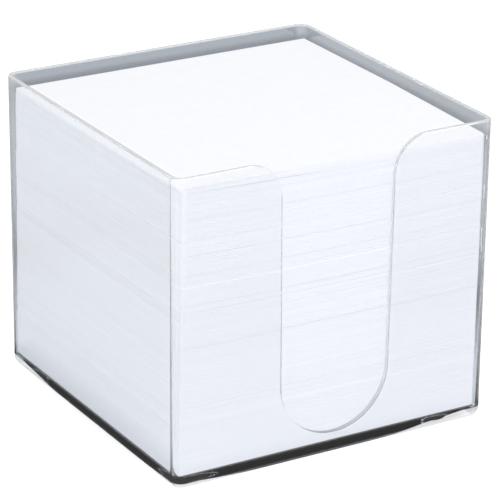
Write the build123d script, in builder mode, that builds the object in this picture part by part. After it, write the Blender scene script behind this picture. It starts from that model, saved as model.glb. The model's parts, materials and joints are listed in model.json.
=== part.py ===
"""Memo cube: a clear moulded box with a finger cut-out, filled with loose square note sheets.

Millimetres. +Z up, -Y is the side with the finger cut-out. The origin is on the table, under the
middle of the box.
"""

import os
from math import atan, cos, degrees, sin

from build123d import *

# Note sheets
note_side = 90.0
sheet_thickness = 0.1
sheet_air = 0.0025
sheet_wander = 0.06
sheet_wander_step = 2.4

# The stack leans: how far off it would be at the height of the rim
stack_lean_x = 0.10
stack_lean_y = -0.80

# Clear box
note_clearance = 1.25
wall = 1.25
box_height = 85.0
floor_thickness = 3.6
outer_draft = 0.2
inner_draft = 0.6
corner_radius = 3.0
inner_corner_radius = 1.8
base_edge_radius = 2.8
rim_edge_radius = 0.4

# Finger cut-out in the front wall, narrower at its round end
cut_out_width = 33.4
cut_out_end_width = 32.2
cut_out_floor_gap = 6.6
cut_out_mouth_radius = 10.0

# Moulded feet
foot_height = 0.8
foot_diameter = 10.4
foot_edge_radius = 0.3
foot_inset = 10.8

# Sheaves from the floor up: sheets in the sheaf, and how far it has slid along X and Y
sheaves = [
    (78, 0.00, 0.00),
    (48, -0.05, 0.05),
    (19, 0.08, -0.05),
    (21, -0.05, 0.05),
    (15, 0.06, -0.04),
    (64, 0.02, 0.05),
    (96, 0.12, 0.10),
    (69, 0.00, -0.12),
    (23, 0.06, -0.10),
    (19, 0.20, -0.05),
    (50, 0.00, -0.20),
    (8, 0.22, 0.04),
    (21, 0.10, 0.16),
    (52, 0.02, 0.05),
    (38, 0.12, -0.08),
    (56, 0.17, 0.05),
    (39, 0.05, -0.05),
    (28, 0.12, 0.02),
    (9, 0.26, -0.03),
]

# Single sheets on top: slide along X and Y, and turn about the upright axis in degrees
top_sheets = [
    (0.28, -0.03, 0.00),
    (0.24, -0.06, 0.04),
    (0.31, 0.00, -0.05),
    (0.27, -0.05, 0.03),
    (0.25, -0.02, -0.04),
    (0.30, -0.03, 0.05),
]

# Sizes that follow from those
inner_side = note_side + 2 * note_clearance
outer_side = inner_side + 2 * wall
inner_base_side = inner_side - 2 * inner_draft
outer_base_side = outer_side - 2 * outer_draft
rim_z = foot_height + box_height
floor_top_z = foot_height + floor_thickness
sheet_pitch = sheet_thickness + sheet_air
cut_out_half_width = cut_out_width / 2
cut_out_radius = cut_out_end_width / 2
cut_out_centre_z = foot_height + cut_out_floor_gap + cut_out_radius
mouth_start_z = rim_z - cut_out_mouth_radius
mouth_half_width = cut_out_half_width + cut_out_mouth_radius
cut_out_lean = atan((cut_out_half_width - cut_out_radius) / (mouth_start_z - cut_out_centre_z))
round_end_x = cut_out_radius * cos(cut_out_lean)
round_end_z = cut_out_centre_z - cut_out_radius * sin(cut_out_lean)
foot_spacing = outer_side - 2 * foot_inset


def save(piece, label):
    """Name a finished piece and write it to its own file."""
    piece.label = label
    export_step(piece, f"parts/{label}.step")


def wander(index, start):
    """How far one loose sheet lies from the middle of its sheaf."""
    return sheet_wander * sin(start + sheet_wander_step * index)


def sheet_z(index):
    """Height of the middle of a sheet, counted from the floor of the box."""
    return floor_top_z + sheet_air + index * sheet_pitch + sheet_thickness / 2


def sheet_place(index, slide_x, slide_y):
    """Middle of a sheet that has slid this far from the line along which the stack leans."""
    share = (sheet_z(index) - floor_top_z) / (rim_z - floor_top_z)
    return (share * stack_lean_x + slide_x, share * stack_lean_y + slide_y, sheet_z(index))


def make_clear_box():
    """The moulded box: drafted walls, floor, finger cut-out and feet in one piece."""
    with BuildPart() as clear_box:
        # Outside, tapered towards the table
        with BuildSketch(Plane.XY.offset(foot_height)):
            RectangleRounded(outer_base_side, outer_base_side, corner_radius)
        extrude(amount=box_height, taper=-degrees(atan(outer_draft / box_height)))
        fillet(clear_box.faces().sort_by(Axis.Z)[0].edges(), radius=base_edge_radius)

        # Inside, down to the floor
        inner_depth = rim_z - floor_top_z
        with BuildSketch(Plane.XY.offset(floor_top_z)):
            RectangleRounded(inner_base_side, inner_base_side, inner_corner_radius)
        extrude(
            amount=inner_depth,
            taper=-degrees(atan(inner_draft / inner_depth)),
            mode=Mode.SUBTRACT,
        )

        # Finger cut-out: a U whose mouth flares into the rim
        with BuildSketch(Plane.XZ.offset(outer_side / 2 + wall)):
            with BuildLine():
                left_mouth = RadiusArc(
                    (-mouth_half_width, rim_z),
                    (-cut_out_half_width, mouth_start_z),
                    cut_out_mouth_radius,
                )
                left_side = Line(left_mouth @ 1, (-round_end_x, round_end_z))
                bottom = ThreePointArc(
                    left_side @ 1,
                    (0, cut_out_centre_z - cut_out_radius),
                    (round_end_x, round_end_z),
                )
                right_side = Line(bottom @ 1, (cut_out_half_width, mouth_start_z))
                right_mouth = RadiusArc(
                    right_side @ 1, (mouth_half_width, rim_z), cut_out_mouth_radius
                )
                Polyline(
                    right_mouth @ 1,
                    (mouth_half_width, rim_z + wall),
                    (-mouth_half_width, rim_z + wall),
                    left_mouth @ 0,
                )
            make_face()
        extrude(amount=-3 * wall, mode=Mode.SUBTRACT)

        # Rounded edges of the rim and of the cut-out
        cut_out_edges = clear_box.edges(Select.LAST)
        rim_edges = clear_box.faces().sort_by(Axis.Z)[-1].edges()
        seams = cut_out_edges.filter_by(Axis.Y)
        fillet((cut_out_edges + rim_edges) - seams, radius=rim_edge_radius)

        # Round feet under the floor
        with BuildSketch(Plane.XY):
            with GridLocations(foot_spacing, foot_spacing, 2, 2):
                Circle(foot_diameter / 2)
        extrude(amount=foot_height)
        fillet(clear_box.faces().group_by(Axis.Z)[0].edges(), radius=foot_edge_radius)
    return clear_box


def make_sheaf(sheets, slide_x, slide_y, below):
    """A sheaf of loose sheets, each a solid of its own, above the sheets that lie below it."""
    with BuildPart() as sheaf:
        places = [
            sheet_place(index, slide_x + wander(index, 0), slide_y + wander(index, 1))
            for index in range(below, below + sheets)
        ]
        with Locations(*places):
            Box(note_side, note_side, sheet_thickness)
    return sheaf


def make_top_sheet(slide_x, slide_y, turn, below):
    """One loose sheet on its own, turned a little in the box."""
    with BuildPart() as sheet:
        with Locations(Location(sheet_place(below, slide_x, slide_y), (0, 0, turn))):
            Box(note_side, note_side, sheet_thickness)
    return sheet


os.makedirs("parts", exist_ok=True)
save(make_clear_box().part, "clear_box")

sheets_below = 0
for number, (sheets, slide_x, slide_y) in enumerate(sheaves, start=1):
    save(make_sheaf(sheets, slide_x, slide_y, sheets_below).part, f"note_sheaf_{number:02d}")
    sheets_below += sheets

for number, (slide_x, slide_y, turn) in enumerate(top_sheets, start=1):
    save(make_top_sheet(slide_x, slide_y, turn, sheets_below).part, f"note_sheet_{number}")
    sheets_below += 1

print("note sheets:", sheets_below, "top of the stack at", round(sheet_z(sheets_below - 1), 2))
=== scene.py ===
"""Looks of the memo cube: clear box, loose note sheets, studio. Metres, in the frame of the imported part."""

import json
import math

import bpy
import numpy as np
from mathutils import Matrix, Vector

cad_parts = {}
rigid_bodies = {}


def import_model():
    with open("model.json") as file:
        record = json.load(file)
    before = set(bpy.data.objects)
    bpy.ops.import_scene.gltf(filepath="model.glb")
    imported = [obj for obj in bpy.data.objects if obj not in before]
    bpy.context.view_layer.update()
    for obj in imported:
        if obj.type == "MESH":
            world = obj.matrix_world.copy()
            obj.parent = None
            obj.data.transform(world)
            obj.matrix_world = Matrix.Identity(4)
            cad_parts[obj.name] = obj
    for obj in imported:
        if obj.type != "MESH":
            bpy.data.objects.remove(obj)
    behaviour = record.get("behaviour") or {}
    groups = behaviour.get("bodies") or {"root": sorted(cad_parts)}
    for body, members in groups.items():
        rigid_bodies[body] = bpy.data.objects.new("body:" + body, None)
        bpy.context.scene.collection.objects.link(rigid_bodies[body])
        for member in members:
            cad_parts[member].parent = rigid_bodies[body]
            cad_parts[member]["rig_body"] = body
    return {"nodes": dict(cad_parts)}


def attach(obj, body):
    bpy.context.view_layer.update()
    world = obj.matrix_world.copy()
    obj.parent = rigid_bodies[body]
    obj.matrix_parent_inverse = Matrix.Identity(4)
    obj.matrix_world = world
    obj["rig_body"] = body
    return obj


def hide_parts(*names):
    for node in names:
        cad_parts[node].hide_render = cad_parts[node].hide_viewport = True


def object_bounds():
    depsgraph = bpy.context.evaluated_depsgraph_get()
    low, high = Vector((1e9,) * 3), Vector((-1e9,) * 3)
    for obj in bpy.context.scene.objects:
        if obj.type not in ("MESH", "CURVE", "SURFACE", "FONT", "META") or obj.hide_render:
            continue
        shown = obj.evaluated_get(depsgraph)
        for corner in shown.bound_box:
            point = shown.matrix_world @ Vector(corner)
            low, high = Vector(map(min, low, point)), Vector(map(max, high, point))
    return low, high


MM = 0.001

# Camera: angles in degrees, focal length and frame in pixels, the rest in mm
CAMERA_AZIMUTH = -30.709
CAMERA_ELEVATION = 21.814
CAMERA_ROLL = 0.619
CAMERA_FOCAL_PX = 2972.1
FRAME_PX = 500
SENSOR = 36.0
CAMERA_SHIFT = (-1.701, 1.856)
CAMERA_DISTANCE = 800.7
CAMERA_TARGET_Z = 43.8
CAMERA_NEAREST = 10
CAMERA_FARTHEST = 20000

# Sheets, mm. Each is a grid of this many squares a side
GRID = 8
NOTE_HALF = 45.0
STACK_BASE = 4.4
STACK_TOP = 82.2
# Heights in the CAD mesh are told apart to this many decimals, and match within this much
LEVEL_DECIMALS = 3
LEVEL_SLACK = 0.01
# Edges sharper than this many degrees aren't shaded smooth
SMOOTH_UP_TO = 35

# Lie of the stack at its top: its front edge sags in the middle, bows up to both sides, less on the right
MIDDLE_RISE = 0.08
FRONT_SAG = 1.0
FRONT_BOW = 1.6
FRONT_BOW_SOFTNESS = 0.03
FRONT_RIGHT_SAG = 1.1
# The sheets above this height are a pile that lies in its own way. How high its top lies at its front
# edge, its middle and its back edge: at x = 0, and how much higher at the right edge
PILE_FROM = 80.6615
PILE_FRONT = (-0.10, -0.70)
PILE_MIDDLE = (0.19, -0.16)
PILE_BACK = (-0.03, 0.0)
# Its lowest sheet is this share of the way there at the front left. It starts at this share of the half
# width, and is full this much further left
PILE_GAP = 0.24
PILE_GAP_START = -0.02
PILE_GAP_WIDTH = 0.5
# How much lighter its cut edges at the front get towards its top: painted light
PILE_PAINTED_LIGHT = 0.03

# How strongly a sheaf's lowest sheet is darkened by a painted shadow and its top sheet lightened by a painted
# highlight, as a share of the values that follow
JOINT_PAINTED_SHADE_AND_LIGHT = {
    "note_sheaf_02": 0.2,
    "note_sheaf_03": 0.25,
    "note_sheaf_05": 0.2,
    "note_sheaf_08": 1.0,
    "note_sheaf_09": 0.9,
    "note_sheaf_10": 1.2,
    "note_sheaf_11": 1.0,
    "note_sheaf_12": 0.2,
    "note_sheaf_13": 0.25,
    "note_sheaf_14": 0.45,
    "note_sheaf_15": 0.4,
    "note_sheaf_17": 0.15,
}
JOINT_PAINTED_SHADOW = 0.22
JOINT_PAINTED_HIGHLIGHT = 0.12
# On the other sides than the front. There the top sheet of every node gets the painted highlight in full
SIDE_JOINT_PAINTED_SHADOW = 0.09
SIDE_TOP_PAINTED_HIGHLIGHT = 0.16
# How much the sheets differ in tone, what share of that the sheets of one node have in common, and how
# many times as much they differ on the other sides than the front
SHEET_VARIATION = 0.010
NODE_SHARE = 0.5
SIDE_VARIATION = 4

# Noise: how fine per mm, detail, roughness
SHEET_BANDS = (1.9, 4.0, 0.65)
FINE_BANDS = (9.0, 1.0, 0.5)
PULP_CLOUDS = (0.35, 5.0, 0.6)
FIBRES = (6.0, 6.0, 0.7)
PLASTIC_HAZE = (0.12, 4.0, 0.6)
PLASTIC_RIPPLE = (0.05, 2.0, 0.5)
TABLE_GRAIN = (0.02, 3.0, 0.5)
# The bands run along the cut edges: how fast they change along X, along Y and upwards
SHEET_BANDS_STRETCH = (0.004, 0.004, 1.0)
FINE_BANDS_STRETCH = (0.01, 0.01, 1.0)

# Bumps: strength, and height in mm
FIBRE_BUMP = (0.12, 0.02)
RIPPLE_BUMP = (0.15, 0.03)

# Colours over a value: the value, and the colour there
EDGE_WHITES = [(0.25, (0.831, 0.845, 0.894)), (0.75, (0.881, 0.893, 0.941))]
FINE_WHITES = [(0.3, (0.965, 0.965, 0.97)), (0.7, (1, 1, 1))]
FACE_WHITES = [(0.3, (0.887, 0.885, 0.907)), (0.7, (0.911, 0.907, 0.923))]
# From black to the clear plastic's own tint; the painted shade on the back and right walls darkens them along
# it
PAINTED_SHADE_TO_CLEAR = [(0, (0, 0, 0)), (1, (0.993, 0.996, 0.998))]

# Paper. A face whose normal is this upright is a sheet's face, otherwise it is a cut edge
FACE_UPRIGHT = 0.7
PAPER_SPECULAR = 0.25

# Plastic
PLASTIC_IOR = 1.59
PLASTIC_DEPTH_TINT = (0.80, 0.86, 0.88, 1)
PLASTIC_DEPTH_DENSITY = 6.0
STRAIGHT_THROUGH_TINT = (0.985, 0.985, 0.987, 1)
UNDERSIDE_ROUGHNESS = 0.9
# How much of the light its worn edges scatter
SCUFF = 0.42
# How much of the light goes straight through the rounded base edge near the corners, letting the white table
# show there as painted light
LIP_CLEAR_PAINTED_LIGHT = 0.72

# Where the plastic looks different, mm. The flat underside of the floor lies between these heights
UNDERSIDE_LOW = 0.7
UNDERSIDE_HIGH = 0.9
# The cut-out's edge lies left of, in front of and above these, and its normals have less than this of
# their length towards the front or back
CUT_OUT_RIGHT = 28
CUT_OUT_BACK = -45.8
CUT_OUT_LOW = 6.5
CUT_OUT_TURNED = 0.6
# At an upright corner the normal has more than this of its length both along X and along Y, and x and y
# without their signs add up to more than this
CORNER_TURNED = 0.1
CORNER_REACH = 91.9
# The back and right walls lie past this along Y or X, and the front and left walls before this
BACK_WALLS = 44
FRONT_WALLS = -44

# Ranges: from this to that, the result goes from this to that.
# Over noise, roughness
PAPER_ROUGHNESS = (0.3, 0.7, 0.82, 0.95)
HAZE_ROUGHNESS = (0.35, 0.75, 0.0, 0.02)
# Over height in mm: how clear the plastic is, and how scuffed its rim and its upright corners are
CLEARNESS = (4.4, 6.0, 1.0, 0.96)
RIM_SCUFF = (85.2, 85.6, 0, 1)
CORNER_SCUFF = (35, 75, 0, 0.3)
# Over x in mm: how scuffed the cut-out's edge is
CUT_OUT_SCUFF = (-8, 8, 0.45, 1.15)
# Over height in mm: how much light a painted shade leaves on the back and right walls, below and above its
# darkest stretch at the stack's top
PAINTED_SHADE_BELOW = (70, 81, 1, 0.74)
PAINTED_SHADE_ABOVE = (82.0, 83.5, 0.74, 1)
# Over mm from the middle of a wall: how high in mm the clear lip of the base edge, painted light, reaches,
# and how much higher towards the far ends of the front and left walls
LIP_NEAR = (20, 40, 1.0, 2.7)
LIP_FAR = (8, 28, 0, 1.5)

# Table: its size in metres, then over noise how white it is, and over mm away from the box how white its
# mirror image is, with a painted shadow that darkens it close to the box
TABLE_SIZE = 6.0
TABLE_WHITES = (0.3, 0.7, 0.79, 0.81)
MIRRORED_TABLE_PAINTED_SHADOW = (7.0, 14.0, 0.03, 0.85)
# The table seen through the plastic: mm away from the box, negative under it, and how light it is, with
# painted shadow near the box
SEEN_THROUGH_GREY_AND_PAINTED_SHADOW = [(-20, 0), (1, 0), (2, 0.55), (30, 0.55), (75, 0.04), (120, 0.295), (180, 0.325)]
TABLE_SEEN_THROUGH_TINT = (0.84, 0.925, 1.05)
# How much it glows for rays from the camera, and for those that a surface mirrors
TABLE_GLOW_CAMERA = 0.45
TABLE_GLOW_GLOSSY = 0.03

# World: 1 is white
DOME_COLOUR = (0.97, 0.985, 1.0, 1)
DOME_LEVEL = 0.90
# Over the upward part of a ray's direction: the share of its light that the sky loses, seen through the
# plastic
LOW_SKY_LOSS = (0.40, 0.60, 0.92, 0)

# Lamps: metres, watts
LAMP_TARGET = (0, 0, 0.04)
FRONT_LAMP_PLACE = (0.35, -0.75, 0.75)
FRONT_LAMP_SIZE = 0.6
FRONT_LAMP_WATTS = 3.0
FRONT_LAMP_COLOUR = (1, 1, 1)
LEFT_LAMP_PLACE = (-0.95, -0.35, 0.30)
LEFT_LAMP_SIZE = 0.5
LEFT_LAMP_WATTS = 2.08
LEFT_LAMP_COLOUR = (0.92, 0.96, 1.0)

# How many times light is followed on in the layers of plastic, and how many times straight through one
BOUNCES = 48
STRAIGHT_BOUNCES = 24

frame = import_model()
cad_low, cad_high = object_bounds()


def link(obj):
    """Put a new object in the scene."""
    bpy.context.scene.collection.objects.link(obj)
    return obj


# Node helpers
def new_material(name):
    material = bpy.data.materials.new(name)
    material.use_nodes = True
    material.node_tree.nodes.clear()
    return material, material.node_tree


def add(tree, kind, inputs=None, **settings):
    """A new node: its settings first, then its inputs, each a constant or another node's output."""
    made = tree.nodes.new("ShaderNode" + kind)
    for name, value in settings.items():
        setattr(made, name, value)
    for name, value in (inputs or {}).items():
        if isinstance(value, bpy.types.NodeSocket):
            tree.links.new(value, made.inputs[name])
        else:
            made.inputs[name].default_value = value
    return made


def calculate(tree, operation, *values):
    return add(tree, "Math", dict(enumerate(values)), operation=operation).outputs[0]


def chain(tree, operation, first, *others):
    """One operation over several values, such as their product or the largest of them."""
    for other in others:
        first = calculate(tree, operation, first, other)
    return first


def above(tree, value, limit):
    """1 where the value is over the limit, otherwise 0."""
    return calculate(tree, "GREATER_THAN", value, limit)


def below(tree, value, limit):
    """1 where the value is under the limit, otherwise 0."""
    return calculate(tree, "LESS_THAN", value, limit)


def sizes(tree, values):
    """The values without their signs."""
    return [calculate(tree, "ABSOLUTE", value) for value in values]


def map_range(tree, value, low, high, to_low, to_high):
    inputs = {"Value": value, "From Min": low, "From Max": high, "To Min": to_low, "To Max": to_high}
    return add(tree, "MapRange", inputs).outputs["Result"]


def object_position(tree):
    """Position in the frame of the part, in millimetres."""
    coordinates = add(tree, "TexCoord").outputs["Object"]
    return add(tree, "VectorMath", {0: coordinates, "Scale": 1 / MM}, operation="SCALE").outputs[0]


def stretched(tree, position, factors):
    return add(tree, "VectorMath", {0: position, 1: factors}, operation="MULTIPLY").outputs[0]


def axes(tree, vector):
    """X, Y and Z of a vector."""
    made = add(tree, "SeparateXYZ", {0: vector})
    return [made.outputs[axis] for axis in ("X", "Y", "Z")]


def normal_axes(tree):
    """X, Y and Z of the way that the surface faces."""
    return axes(tree, add(tree, "NewGeometry").outputs["Normal"])


def noise(tree, position, scale, detail, roughness):
    inputs = {"Vector": position, "Scale": scale, "Detail": detail, "Roughness": roughness}
    return add(tree, "TexNoise", inputs).outputs["Fac"]


def bump(tree, height, strength, height_mm):
    inputs = {"Height": height, "Strength": strength, "Distance": height_mm * MM}
    return add(tree, "Bump", inputs).outputs["Normal"]


def ramp(tree, factor, stops):
    """The colour that the stops give for each value of the factor."""
    made = add(tree, "ValToRGB", {"Fac": factor})
    elements = made.color_ramp.elements
    while len(elements) < len(stops):
        elements.new(0.5)
    for element, (place, colour) in zip(elements, stops):
        element.position = place
        element.color = (*colour, 1)
    return made.outputs["Color"]


def blend(tree, factor, a, b, **settings):
    """From a, where the factor is 0, to b, where it is 1."""
    return add(tree, "Mix", {"Factor": factor, "A": a, "B": b}, **settings).outputs["Result"]


def multiply_colours(tree, a, b):
    return blend(tree, 1.0, a, b, data_type="RGBA", blend_type="MULTIPLY")


# Note paper
def make_paper():
    material, tree = new_material("note_paper")
    position = object_position(tree)
    upright = calculate(tree, "ABSOLUTE", normal_axes(tree)[2])
    # Cut edges: each few sheets a slightly different white
    bands = noise(tree, stretched(tree, position, SHEET_BANDS_STRETCH), *SHEET_BANDS)
    fine = noise(tree, stretched(tree, position, FINE_BANDS_STRETCH), *FINE_BANDS)
    edge = multiply_colours(tree, ramp(tree, bands, EDGE_WHITES), ramp(tree, fine, FINE_WHITES))
    # Each sheet's lightness: its random tone, a painted shadow and highlight between sheaves, and painted
    # light up the pile
    edge = multiply_colours(tree, edge, add(tree, "Attribute", attribute_name="tone_and_painted_shade").outputs["Fac"])
    # Faces: faint cloudiness of the pulp
    face = ramp(tree, noise(tree, position, *PULP_CLOUDS), FACE_WHITES)
    fibre = noise(tree, position, *FIBRES)
    inputs = {
        "Base Color": blend(tree, above(tree, upright, FACE_UPRIGHT), edge, face, data_type="RGBA"),
        "Roughness": map_range(tree, fibre, *PAPER_ROUGHNESS),
        "Normal": bump(tree, fibre, *FIBRE_BUMP),
        "Specular IOR Level": PAPER_SPECULAR,
    }
    surface = add(tree, "BsdfPrincipled", inputs).outputs[0]
    add(tree, "OutputMaterial", {"Surface": surface})
    return material


# Clear plastic
def underside(tree, z):
    """1 on the flat underside of the floor, otherwise 0."""
    return calculate(tree, "MULTIPLY", below(tree, z, UNDERSIDE_HIGH), above(tree, z, UNDERSIDE_LOW))


def worn_edges(tree, x, y, z):
    """How scuffed the rim is, the cut-out's edge, most on its right, and the upright corners near the top."""
    turned = sizes(tree, normal_axes(tree)[:2])
    cut_out = chain(
        tree,
        "MULTIPLY",
        below(tree, turned[1], CUT_OUT_TURNED),
        below(tree, x, CUT_OUT_RIGHT),
        map_range(tree, x, *CUT_OUT_SCUFF),
        below(tree, y, CUT_OUT_BACK),
        above(tree, z, CUT_OUT_LOW),
    )
    corner = chain(
        tree,
        "MULTIPLY",
        above(tree, calculate(tree, "MINIMUM", *turned), CORNER_TURNED),
        above(tree, calculate(tree, "ADD", *sizes(tree, (x, y))), CORNER_REACH),
        map_range(tree, z, *CORNER_SCUFF),
    )
    return chain(tree, "MAXIMUM", map_range(tree, z, *RIM_SCUFF), cut_out, corner)


def walls_with_painted_shade(tree, x, y, z):
    """1 where the plastic is clear, and less on the back and right walls near the stack's top, darkened by
    painted shade.
    """
    elsewhere = below(tree, calculate(tree, "MAXIMUM", x, y), BACK_WALLS)
    shade_above = map_range(tree, z, *PAINTED_SHADE_ABOVE)
    return chain(tree, "MAXIMUM", shade_above, elsewhere, map_range(tree, z, *PAINTED_SHADE_BELOW))


def straight_through(tree, x, y, z):
    """How much goes straight through: shadow and diffuse rays, all at the underside, and most at the lip, as
    painted light.
    """
    path = add(tree, "LightPath").outputs
    near = map_range(tree, calculate(tree, "MINIMUM", *sizes(tree, (x, y))), *LIP_NEAR)
    far = map_range(tree, calculate(tree, "MAXIMUM", x, y), *LIP_FAR)
    front_walls = below(tree, calculate(tree, "MINIMUM", x, y), FRONT_WALLS)
    far = calculate(tree, "MULTIPLY", far, front_walls)
    # At the lip the white table shows straight through: painted light standing in for the light the rounded
    # corners catch
    lip = below(tree, z, calculate(tree, "ADD", near, far))
    lip = chain(tree, "MULTIPLY", lip, above(tree, z, UNDERSIDE_LOW), LIP_CLEAR_PAINTED_LIGHT)
    shares = (path["Is Shadow Ray"], path["Is Diffuse Ray"], lip, underside(tree, z))
    return chain(tree, "MAXIMUM", *shares)


def make_plastic():
    material, tree = new_material("clear_polystyrene")
    position = object_position(tree)
    x, y, z = axes(tree, position)
    haze = map_range(tree, noise(tree, position, *PLASTIC_HAZE), *HAZE_ROUGHNESS)
    matt = calculate(tree, "MULTIPLY", underside(tree, z), UNDERSIDE_ROUGHNESS)
    scuff = calculate(tree, "MULTIPLY", worn_edges(tree, x, y, z), SCUFF)
    inputs = {
        # The painted shade darkens the back and right walls near the top of the stack
        "Base Color": ramp(tree, walls_with_painted_shade(tree, x, y, z), PAINTED_SHADE_TO_CLEAR),
        "Transmission Weight": calculate(tree, "SUBTRACT", map_range(tree, z, *CLEARNESS), scuff),
        "IOR": PLASTIC_IOR,
        "Roughness": calculate(tree, "MAXIMUM", haze, matt),
        "Normal": bump(tree, noise(tree, position, *PLASTIC_RIPPLE), *RIPPLE_BUMP),
    }
    surface = add(tree, "BsdfPrincipled", inputs).outputs[0]
    clear = add(tree, "BsdfTransparent", {"Color": STRAIGHT_THROUGH_TINT}).outputs[0]
    mix = add(tree, "MixShader", {"Fac": straight_through(tree, x, y, z), 1: surface, 2: clear})
    depth = {"Color": PLASTIC_DEPTH_TINT, "Density": PLASTIC_DEPTH_DENSITY}
    volume = add(tree, "VolumeAbsorption", depth).outputs[0]
    add(tree, "OutputMaterial", {"Surface": mix.outputs[0], "Volume": volume})
    return material


# Table
def seen_through_painted_shadow(tree, away):
    """The table as the plastic shows it, by how many mm it is away from the box, painted shadow included."""
    nearest, farthest = SEEN_THROUGH_GREY_AND_PAINTED_SHADOW[0][0], SEEN_THROUGH_GREY_AND_PAINTED_SHADOW[-1][0]
    stops = [
        ((mm_away - nearest) / (farthest - nearest), [light * part for part in TABLE_SEEN_THROUGH_TINT])
        for mm_away, light in SEEN_THROUGH_GREY_AND_PAINTED_SHADOW
    ]
    return ramp(tree, map_range(tree, away, nearest, farthest, 0, 1), stops)


def make_table():
    """White with a painted shadow near the box where mirrored, grey with a painted shadow where it shows
    through the walls.
    """
    material, tree = new_material("table")
    position = object_position(tree)
    path = add(tree, "LightPath").outputs
    farther_side = calculate(tree, "MAXIMUM", *sizes(tree, axes(tree, position)[:2]))
    away = calculate(tree, "SUBTRACT", farther_side, cad_high[0] / MM)
    plain = map_range(tree, noise(tree, position, *TABLE_GRAIN), *TABLE_WHITES)
    # For mirrored rays the table is darkened close to the box by a painted shadow
    white = blend(tree, path["Is Glossy Ray"], plain, map_range(tree, away, *MIRRORED_TABLE_PAINTED_SHADOW))
    through = seen_through_painted_shadow(tree, away)
    colour = blend(tree, path["Is Transmission Ray"], white, through, data_type="RGBA")
    surface = add(tree, "BsdfDiffuse", {"Color": colour}).outputs[0]
    # The glow that whitens the table for the rays that look at it, and lights nothing
    seen = calculate(tree, "MULTIPLY", path["Is Camera Ray"], TABLE_GLOW_CAMERA)
    seen = calculate(tree, "MULTIPLY_ADD", path["Is Glossy Ray"], TABLE_GLOW_GLOSSY, seen)
    glow = add(tree, "Emission", {"Strength": seen}).outputs[0]
    both = add(tree, "AddShader", {0: surface, 1: glow}).outputs[0]
    add(tree, "OutputMaterial", {"Surface": both})
    return material


# Sheets
def sheet_corners(obj):
    """Each sheet of a CAD node: (lowest z, highest z, four corners in turn), from the bottom up."""
    points = np.zeros(len(obj.data.vertices) * 3, np.float32)
    obj.data.vertices.foreach_get("co", points)
    points = points.reshape(-1, 3).astype(float) / MM
    levels = np.unique(np.round(points[:, 2], LEVEL_DECIMALS))
    sheets = []
    for low, high in zip(levels[0::2], levels[1::2]):
        ring = points[np.abs(points[:, 2] - low) < LEVEL_SLACK][:, :2]
        middle = ring.mean(0)
        corners = []
        for quadrant in ((-1, -1), (1, -1), (1, 1), (-1, 1)):
            toward = (ring - middle) @ np.array(quadrant)
            corners.append(ring[toward.argmax()])
        sheets.append((low, high, np.array(corners)))
    return sheets


def pile_share(z):
    """How far up in the pile a height is: 0 at its lowest sheet and below, 1 at its top."""
    return np.clip((z - PILE_FROM) / (STACK_TOP - PILE_FROM), 0, 1)


def sag(x, y, z):
    """How far the loose stack stands out of flat at a point, in mm."""
    rise = np.clip((z - STACK_BASE) / (STACK_TOP - STACK_BASE), 0, 1)
    u = x / NOTE_HALF
    v = y / NOTE_HALF
    front = np.clip(-v, 0, 1)
    back = np.clip(v, 0, 1)
    middle = 1 - front - back
    bow = FRONT_BOW * np.sqrt(u**2 + FRONT_BOW_SOFTNESS)
    edge = bow - FRONT_SAG - FRONT_RIGHT_SAG * np.clip(u, 0, 1)
    stack = rise * (MIDDLE_RISE * middle + edge * front)
    parts = ((front, PILE_FRONT), (middle, PILE_MIDDLE), (back, PILE_BACK))
    pile = sum(weight * (level + slope * u) for weight, (level, slope) in parts)
    # From the lie of the stack at the pile's lowest sheet to that of the pile at its top
    gap = PILE_GAP * front**2 * np.clip((PILE_GAP_START - u) / PILE_GAP_WIDTH, 0, 1)
    loose = (gap + (1 - gap) * pile_share(z)) * (z > PILE_FROM)
    return stack * (1 - loose) + pile * loose


def sheet_tones_and_painted_shade(name, sheets):
    """How light the cut edge of each sheet of a node is, at its front and on its other sides, painted shade
    and light included.
    """
    chance = np.random.default_rng(sum(name.encode()))
    single = chance.uniform(-1, 1, len(sheets))
    plain = 1 + SHEET_VARIATION * (single + chance.uniform(-NODE_SHARE, NODE_SHARE))
    front, side = plain.copy(), 1 + SIDE_VARIATION * (plain - 1)
    # Painted light, rising up the pile's front cut edges
    front += PILE_PAINTED_LIGHT * pile_share(np.array([low for low, high, corners in sheets]))
    joint_shade = JOINT_PAINTED_SHADE_AND_LIGHT.get(name, 0)
    # Painted shadow on a sheaf's lowest sheet and painted highlight on its top sheet; on the other sides
    # every node's top sheet gets the painted highlight in full
    front[0] -= JOINT_PAINTED_SHADOW * joint_shade
    front[-1] += JOINT_PAINTED_HIGHLIGHT * joint_shade
    side[0] -= SIDE_JOINT_PAINTED_SHADOW * joint_shade
    side[-1] += SIDE_TOP_PAINTED_HIGHLIGHT
    return front, side


def plate():
    """The grid of one sheet: shares along its width and depth at its points, and its faces.

    The faces count the points of the underside first. They are those of the underside, of the top and
    of the sides, and the sides start with the front.
    """
    steps = np.linspace(0, 1, GRID + 1)
    s, t = (shares.ravel() for shares in np.meshgrid(steps, steps, indexing="xy"))
    index = np.arange(len(s)).reshape(GRID + 1, GRID + 1)
    squares = (index[:-1, :-1], index[:-1, 1:], index[1:, 1:], index[1:, :-1])
    top = np.stack(squares, -1).reshape(-1, 4)
    rim = np.concatenate([index[0, :-1], index[:-1, -1], index[-1, :0:-1], index[:0:-1, 0]])
    after = np.roll(rim, -1)
    sides = np.stack([rim, after, after + len(s), rim + len(s)], -1)
    return s, t, np.concatenate([top[:, ::-1], top + len(s), sides])


def sheet_points(s, t, corners, z):
    """Points of the underside or the top of a sheet that lies at height z, with its sag."""
    weights = ((1 - s) * (1 - t), s * (1 - t), s * t, (1 - s) * t)
    xy = sum(np.outer(weight, corner) for weight, corner in zip(weights, corners))
    return np.column_stack([xy, z + sag(xy[:, 0], xy[:, 1], z)])


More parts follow.
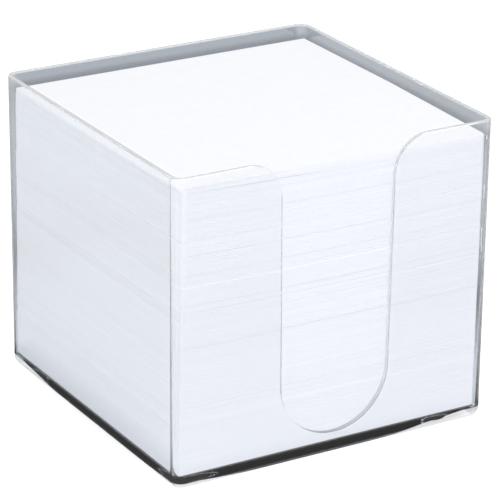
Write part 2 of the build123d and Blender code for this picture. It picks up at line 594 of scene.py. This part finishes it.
def make_mesh(name, points, quads, tones_and_painted_shade):
    """A mesh of four-sided faces, each with its lightness, painted shade and light included."""
    mesh = bpy.data.meshes.new(name)
    mesh.vertices.add(len(points))
    mesh.vertices.foreach_set("co", points.astype(np.float32).ravel())
    mesh.loops.add(quads.size)
    mesh.loops.foreach_set("vertex_index", quads.astype(np.int32).ravel())
    mesh.polygons.add(len(quads))
    mesh.polygons.foreach_set("loop_start", np.arange(0, quads.size, 4, dtype=np.int32))
    mesh.update(calc_edges=True)
    tone_and_painted_shade = mesh.attributes.new("tone_and_painted_shade", "FLOAT", "FACE")
    tone_and_painted_shade.data.foreach_set("value", tones_and_painted_shade.ravel().astype(np.float32))
    mesh.shade_smooth()
    mesh.set_sharp_from_angle(angle=math.radians(SMOOTH_UP_TO))
    return mesh


def build_sheets(name, sheets):
    """One mesh of loose sheets, each a thin closed plate that follows the sag of the stack."""
    s, t, faces = plate()
    points = [sheet_points(s, t, corners, z) for low, high, corners in sheets for z in (low, high)]
    quads = [faces + number * 2 * len(s) for number in range(len(sheets))]
    front, side = sheet_tones_and_painted_shade(name, sheets)
    tones_and_painted_shade = np.repeat(side, len(faces)).reshape(len(sheets), -1)
    first_side = 2 * GRID**2
    tones_and_painted_shade[:, first_side : first_side + GRID] = front[:, None]
    mesh = make_mesh("loose_" + name, np.concatenate(points) * MM, np.concatenate(quads), tones_and_painted_shade)
    return link(bpy.data.objects.new("loose_" + name, mesh))


paper = make_paper()
plastic = make_plastic()
for name, obj in frame["nodes"].items():
    if name == "clear_box":
        obj.data.materials.clear()
        obj.data.materials.append(plastic)
        continue
    piece = build_sheets(name, sheet_corners(obj))
    piece.data.materials.append(paper)
    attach(piece, obj["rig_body"])
    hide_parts(name)

bpy.ops.mesh.primitive_plane_add(size=TABLE_SIZE, location=(0, 0, 0))
table = bpy.context.object
table.name = "table"
table.data.materials.append(make_table())


# Studio
def make_world():
    """A pale dome, white for the camera, whose low sky is dark for rays that went through the plastic."""
    world = bpy.data.worlds.new("studio")
    world.use_nodes = True
    tree = world.node_tree
    tree.nodes.clear()
    path = add(tree, "LightPath").outputs
    upward = axes(tree, add(tree, "TexCoord").outputs["Generated"])[2]
    lost = map_range(tree, upward, *LOW_SKY_LOSS)
    lost = calculate(tree, "MULTIPLY", lost, path["Is Transmission Ray"])
    strength = calculate(tree, "MULTIPLY", calculate(tree, "SUBTRACT", 1, lost), DOME_LEVEL)
    dome = add(tree, "Background", {"Color": DOME_COLOUR, "Strength": strength}).outputs[0]
    white = add(tree, "Background", {"Color": (1, 1, 1, 1)}).outputs[0]
    mix = add(tree, "MixShader", {"Fac": path["Is Camera Ray"], 1: dome, 2: white}).outputs[0]
    add(tree, "OutputWorld", {"Surface": mix})
    return world


def area_lamp(name, place, size, watts, colour):
    """A square lamp that faces the box."""
    data = bpy.data.lights.new(name, "AREA")
    data.shape = "SQUARE"
    data.size = size
    data.energy = watts
    data.color = colour
    lamp = link(bpy.data.objects.new(name, data))
    lamp.location = place
    lamp.rotation_mode = "QUATERNION"
    lamp.rotation_quaternion = (Vector(LAMP_TARGET) - Vector(place)).to_track_quat("-Z", "Y")


def make_camera():
    """The camera of the photograph, rolled a little, with the box a little off the middle of its frame."""
    azimuth = math.radians(CAMERA_AZIMUTH)
    elevation = math.radians(CAMERA_ELEVATION)
    roll = math.radians(CAMERA_ROLL)
    level_x = math.sin(azimuth) * math.cos(elevation)
    level_y = -math.cos(azimuth) * math.cos(elevation)
    back = Vector((level_x, level_y, math.sin(elevation)))
    right = Vector((0, 0, 1)).cross(back).normalized()
    up = back.cross(right)
    camera_x = right * math.cos(roll) + up * math.sin(roll)
    camera_y = up * math.cos(roll) - right * math.sin(roll)
    target = Vector((0, 0, CAMERA_TARGET_Z)) - camera_x * CAMERA_SHIFT[0] - camera_y * CAMERA_SHIFT[1]
    camera = link(bpy.data.objects.new("camera", bpy.data.cameras.new("camera")))
    camera.data.sensor_width = SENSOR
    camera.data.lens = CAMERA_FOCAL_PX / FRAME_PX * SENSOR
    camera.data.clip_start = CAMERA_NEAREST * MM
    camera.data.clip_end = CAMERA_FARTHEST * MM
    turn = Matrix((camera_x, camera_y, back)).transposed().to_4x4()
    camera.matrix_world = Matrix.Translation((target + back * CAMERA_DISTANCE) * MM) @ turn
    return camera


scene = bpy.context.scene
scene.world = make_world()
area_lamp("front_soft_box", FRONT_LAMP_PLACE, FRONT_LAMP_SIZE, FRONT_LAMP_WATTS, FRONT_LAMP_COLOUR)
area_lamp("left_soft_box", LEFT_LAMP_PLACE, LEFT_LAMP_SIZE, LEFT_LAMP_WATTS, LEFT_LAMP_COLOUR)
scene.camera = make_camera()
scene.view_settings.view_transform = "Standard"
scene.cycles.max_bounces = BOUNCES
scene.cycles.transmission_bounces = BOUNCES
scene.cycles.glossy_bounces = BOUNCES
scene.cycles.transparent_max_bounces = STRAIGHT_BOUNCES
